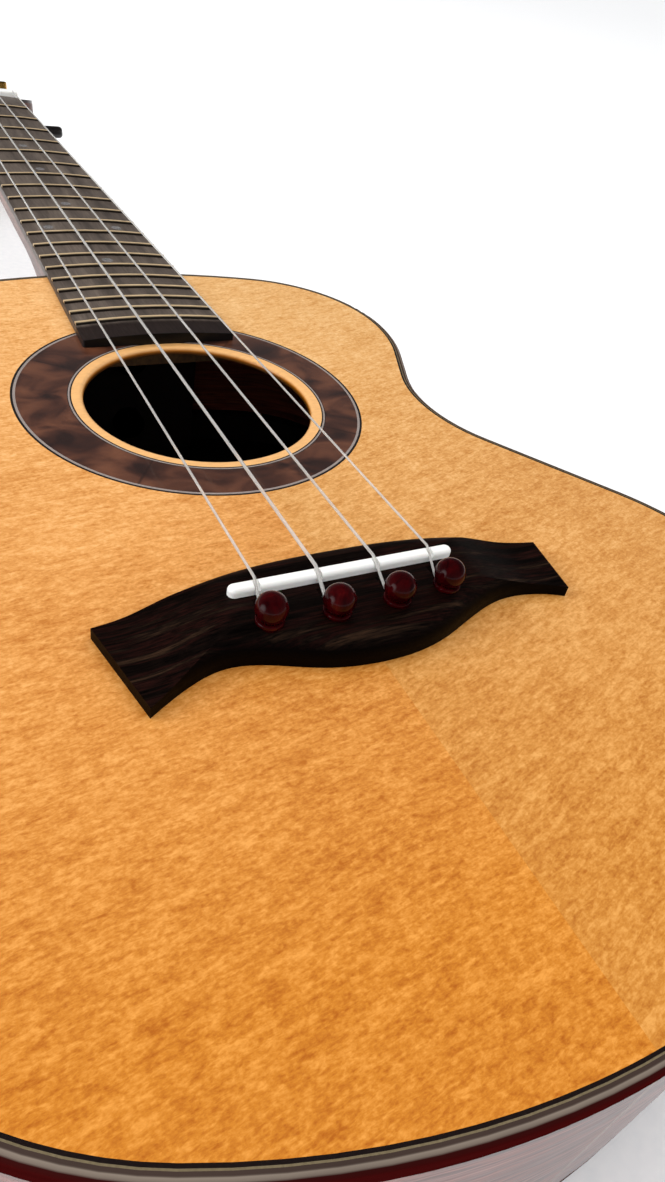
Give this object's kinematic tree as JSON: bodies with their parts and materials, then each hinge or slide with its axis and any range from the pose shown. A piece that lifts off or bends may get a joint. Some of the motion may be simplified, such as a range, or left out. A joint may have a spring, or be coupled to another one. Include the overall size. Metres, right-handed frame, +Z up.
{
  "type": "tenor ukulele",
  "caption": "Small waisted fretted instrument with gut-style strings, pinned bridge with pull-out pins, open geared tuners and a hollow sound box.",
  "frame": {"origin": "under the middle of the instrument's length and width, on the surface it lies on (the underside of the back)", "axes": "+Z up out of the soundboard, +Y along the neck towards the head, +X towards the treble side"},
  "size_m": [0.234, 0.6664, 0.0846],
  "materials": {
    "spruce": "glossy lacquered spruce",
    "burl": "dark figured burl, lacquered",
    "lip_wood": "light wood, lacquered",
    "black_line": "dyed black veneer",
    "white_line": "light veneer",
    "olive_line": "olive-brown veneer",
    "rosewood": "glossy dark red rosewood",
    "binding_wood": "dark glossy binding",
    "inner_wood": "unfinished light wood",
    "neck_wood": "satin mahogany",
    "headplate_wood": "glossy dark rosewood",
    "ebony": "oiled dark ebony",
    "bridge_wood": "dark rosewood, satin",
    "bone": "polished bone",
    "pin_wood": "polished dark red hardwood",
    "nylon": "clear drawn nylon",
    "gold": "gold-coloured plate",
    "fret_metal": "gold-coloured fret alloy",
    "pearl": "grey shell",
    "steel": "plain steel",
    "carbon": "carbon fibre bar",
    "button_ebony": "polished black ebony"
  },
  "bodies": {
    "root": {"soundboard_bass": "spruce", "soundboard_treble": "spruce", "soundhole_ring": "lip_wood", "rosette_burl": "burl", "rosette_black_lines": "black_line", "rosette_white_lines": "white_line", "back_plate": "rosewood", "back_centre_strip": "inner_wood", "side_bass": "rosewood", "side_treble": "rosewood", "tail_seam_strip": "olive_line", "neck_block": "inner_wood", "tail_block": "inner_wood", "top_linings": "inner_wood", "back_linings": "inner_wood", "top_binding": "binding_wood", "top_light_line": "olive_line", "top_black_line": "black_line", "back_binding": "binding_wood", "soundboard_braces": "inner_wood", "bridge_plate": "inner_wood", "back_braces": "inner_wood", "neck": "neck_wood", "heel_cap": "ebony", "headplate": "headplate_wood", "neck_rod": "carbon", "neck_bolts": "steel", "fingerboard": "ebony", "frets": "fret_metal", "position_markers": "pearl", "nut": "bone", "bridge": "bridge_wood", "saddle": "bone", "tuner_plates": "gold", "tuner_screws": "gold", "post_bushings": "gold", "string_1": "nylon", "string_2": "nylon", "string_3": "nylon", "string_4": "nylon"},
    "pin_1": {"bridge_pin_1": "pin_wood"},
    "pin_2": {"bridge_pin_2": "pin_wood"},
    "pin_3": {"bridge_pin_3": "pin_wood"},
    "pin_4": {"bridge_pin_4": "pin_wood"},
    "knob_1": {"tuner_worm_1": "gold", "tuner_button_1": "button_ebony"},
    "post_1": {"tuner_post_1": "gold", "tuner_wheel_1": "gold"},
    "knob_2": {"tuner_worm_2": "gold", "tuner_button_2": "button_ebony"},
    "post_2": {"tuner_post_2": "gold", "tuner_wheel_2": "gold"},
    "knob_3": {"tuner_worm_3": "gold", "tuner_button_3": "button_ebony"},
    "post_3": {"tuner_post_3": "gold", "tuner_wheel_3": "gold"},
    "knob_4": {"tuner_worm_4": "gold", "tuner_button_4": "button_ebony"},
    "post_4": {"tuner_post_4": "gold", "tuner_wheel_4": "gold"}
  },
  "joints": [
    {"name": "pin_1_pull", "type": "slide", "parent": "root", "child": "pin_1", "axis": [0, 0, 1], "range_m": [0, 0.022]},
    {"name": "pin_2_pull", "type": "slide", "parent": "root", "child": "pin_2", "axis": [0, 0, 1], "range_m": [0, 0.022]},
    {"name": "pin_3_pull", "type": "slide", "parent": "root", "child": "pin_3", "axis": [0, 0, 1], "range_m": [0, 0.022]},
    {"name": "pin_4_pull", "type": "slide", "parent": "root", "child": "pin_4", "axis": [0, 0, 1], "range_m": [0, 0.022]},
    {"name": "knob_1_turn", "type": "hinge", "parent": "root", "child": "knob_1", "pos_m": [0.016, 0.23912, 0.0446], "axis": [1, 0, 0], "continuous": true},
    {"name": "post_1_turn", "type": "hinge", "parent": "root", "child": "post_1", "pos_m": [0.016, 0.24852, 0.05351], "axis": [0, 0.239, 0.971], "continuous": true},
    {"name": "knob_2_turn", "type": "hinge", "parent": "root", "child": "knob_2", "pos_m": [0.013, 0.28185, 0.03408], "axis": [1, 0, 0], "continuous": true},
    {"name": "post_2_turn", "type": "hinge", "parent": "root", "child": "post_2", "pos_m": [0.013, 0.29125, 0.04299], "axis": [0, 0.239, 0.971], "continuous": true},
    {"name": "knob_3_turn", "type": "hinge", "parent": "root", "child": "knob_3", "pos_m": [-0.013, 0.28185, 0.03408], "axis": [-1, 0, 0], "continuous": true},
    {"name": "post_3_turn", "type": "hinge", "parent": "root", "child": "post_3", "pos_m": [-0.013, 0.29125, 0.04299], "axis": [0, 0.239, 0.971], "continuous": true},
    {"name": "knob_4_turn", "type": "hinge", "parent": "root", "child": "knob_4", "pos_m": [-0.016, 0.23912, 0.0446], "axis": [-1, 0, 0], "continuous": true},
    {"name": "post_4_turn", "type": "hinge", "parent": "root", "child": "post_4", "pos_m": [-0.016, 0.24852, 0.05351], "axis": [0, 0.239, 0.971], "continuous": true}
  ],
  "couplings": [
    {"joint": "post_1_turn", "follows": "knob_1_turn", "ratio": -0.071429},
    {"joint": "post_2_turn", "follows": "knob_2_turn", "ratio": -0.071429},
    {"joint": "post_3_turn", "follows": "knob_3_turn", "ratio": -0.071429},
    {"joint": "post_4_turn", "follows": "knob_4_turn", "ratio": -0.071429}
  ]
}
